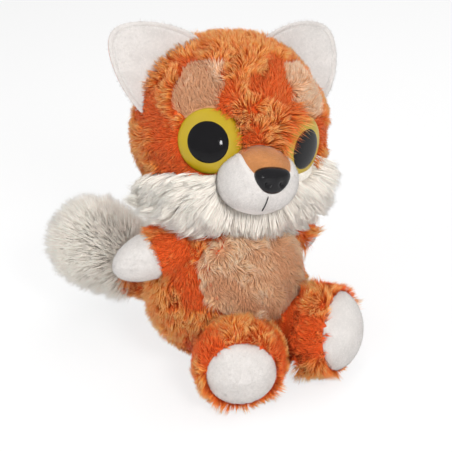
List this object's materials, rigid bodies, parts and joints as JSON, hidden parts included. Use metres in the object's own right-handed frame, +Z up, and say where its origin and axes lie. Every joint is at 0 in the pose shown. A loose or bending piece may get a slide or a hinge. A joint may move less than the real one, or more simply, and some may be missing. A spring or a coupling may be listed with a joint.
{
  "type": "plush fox",
  "caption": "Seated plush fox with a big round head, domed safety eyes, long-haired cheeks and tail tip, and sprung soft joints.",
  "frame": {"origin": "centre of the flat seat under the body, on the surface the toy sits on", "axes": "+Z up, the face and feet point along -Y, the fox's own left is +X"},
  "size_m": [0.1385, 0.1482, 0.1619],
  "materials": {
    "orange_plush": "short satin plush, combed in patches",
    "tan_plush": "short satin plush",
    "white_pile": "long combed pile",
    "white_velour": "fine velour nap",
    "brown_velour": "fine velour nap",
    "filling": "loose fibre filling",
    "eye_yellow": "moulded, satin gloss",
    "eye_black": "polished dome",
    "nose_black": "glossy moulding",
    "washer_plastic": "natural plastic"
  },
  "bodies": {
    "torso": {"body_skin": "orange_plush", "belly_panel": "tan_plush", "body_stuffing": "filling"},
    "neck": {"neck_seam": "orange_plush"},
    "head": {"head_skin": "orange_plush", "head_stuffing": "filling", "muzzle_skin": "white_velour", "muzzle_bridge": "brown_velour", "muzzle_stuffing": "filling", "nose": "nose_black", "nose_washer": "washer_plastic", "brow_patch_right": "tan_plush", "cheek_ruff_right": "white_pile", "eye_ring_right": "eye_yellow", "eye_pupil_right": "eye_black", "eye_washer_right": "washer_plastic", "brow_patch_left": "tan_plush", "cheek_ruff_left": "white_pile", "eye_ring_left": "eye_yellow", "eye_pupil_left": "eye_black", "eye_washer_left": "washer_plastic"},
    "ear_right": {"ear_front_right": "white_velour", "ear_back_right": "orange_plush"},
    "arm_right": {"arm_sleeve_right": "orange_plush", "paw_right": "white_velour", "arm_stuffing_right": "filling"},
    "leg_right": {"leg_skin_right": "orange_plush", "foot_sole_right": "white_velour", "leg_stuffing_right": "filling"},
    "ear_left": {"ear_front_left": "white_velour", "ear_back_left": "orange_plush"},
    "arm_left": {"arm_sleeve_left": "orange_plush", "paw_left": "white_velour", "arm_stuffing_left": "filling"},
    "leg_left": {"leg_skin_left": "orange_plush", "foot_sole_left": "white_velour", "leg_stuffing_left": "filling"},
    "tail": {"tail_base": "orange_plush", "tail_tip": "white_pile", "tail_stuffing": "filling"}
  },
  "joints": [
    {"name": "neck_turn", "type": "hinge", "parent": "torso", "child": "neck", "pos_m": [0, 0, 0.069], "axis": [0, 0, 1], "range_deg": [-35, 35], "stiffness_Nm_per_rad": 0.3},
    {"name": "neck_nod", "type": "hinge", "parent": "neck", "child": "head", "pos_m": [0, 0, 0.069], "axis": [1, 0, 0], "range_deg": [-12, 12], "stiffness_Nm_per_rad": 0.6},
    {"name": "ear_fold_right", "type": "hinge", "parent": "head", "child": "ear_right", "pos_m": [-0.0066, 0.02302, 0.1396], "axis": [0.8076, 0.0658, 0.5861], "range_deg": [-25, 20], "stiffness_Nm_per_rad": 0.01},
    {"name": "arm_lift_right", "type": "hinge", "parent": "torso", "child": "arm_right", "pos_m": [-0.02268, -0.0017, 0.06721], "axis": [0.1328, 0.9911, 0], "range_deg": [-18, 25], "stiffness_Nm_per_rad": 0.05},
    {"name": "leg_lift_right", "type": "hinge", "parent": "torso", "child": "leg_right", "pos_m": [-0.01264, -0.02574, 0.0195], "axis": [-0.9135, 0.4067, 0], "range_deg": [-10, 18], "stiffness_Nm_per_rad": 0.15},
    {"name": "ear_fold_left", "type": "hinge", "parent": "head", "child": "ear_left", "pos_m": [0.05561, 0.01365, 0.12467], "axis": [0.4094, -0.3133, -0.8569], "range_deg": [-25, 20], "stiffness_Nm_per_rad": 0.01},
    {"name": "arm_lift_left", "type": "hinge", "parent": "torso", "child": "arm_left", "pos_m": [0.03077, -0.00208, 0.05591], "axis": [0.4921, -0.8706, 0], "range_deg": [-18, 25], "stiffness_Nm_per_rad": 0.05},
    {"name": "leg_lift_left", "type": "hinge", "parent": "torso", "child": "leg_left", "pos_m": [0.01309, -0.02556, 0.0195], "axis": [-0.8192, -0.5736, 0], "range_deg": [-10, 18], "stiffness_Nm_per_rad": 0.15},
    {"name": "tail_wag", "type": "hinge", "parent": "torso", "child": "tail", "pos_m": [-0.0099, 0.02785, 0.02092], "axis": [0, 0, 1], "range_deg": [-18, 18], "stiffness_Nm_per_rad": 0.06}
  ]
}
